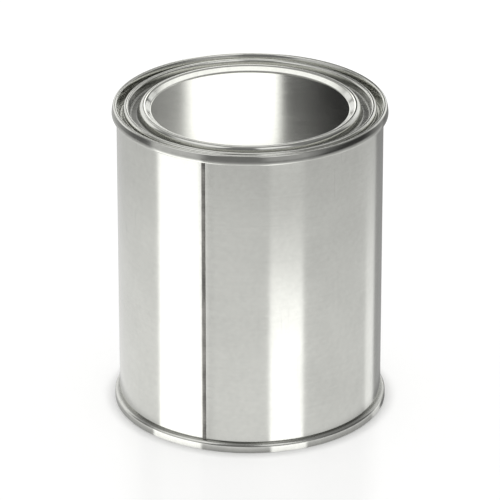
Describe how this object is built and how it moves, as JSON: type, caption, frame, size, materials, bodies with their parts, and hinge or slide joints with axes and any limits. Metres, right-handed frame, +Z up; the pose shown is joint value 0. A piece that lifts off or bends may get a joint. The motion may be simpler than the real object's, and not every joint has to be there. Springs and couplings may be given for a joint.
{
  "type": "lever-lid tin can",
  "caption": "Shut round tinplate can with a welded side seam, double-seamed ends and a push-in lever lid, for food, paint or other goods.",
  "frame": {"origin": "centre of the foot, on the surface that the can stands on", "axes": "+Z up through the lid; -Y is the front, and the side seam is 20 degrees round from it towards -X"},
  "size_m": [0.0874, 0.0874, 0.1016],
  "materials": {
    "wall_tinplate": "bright rolled tinplate, unlacquered",
    "ring_tinplate": "bright pressed tinplate",
    "lid_tinplate": "bright pressed tinplate, faint rolling grain",
    "bottom_tinplate": "bright pressed tinplate, lightly scuffed foot"
  },
  "bodies": {
    "root": {"tin_body": "wall_tinplate", "top_ring": "ring_tinplate", "lever_lid": "lid_tinplate", "bottom_end": "bottom_tinplate"}
  },
  "joints": []
}
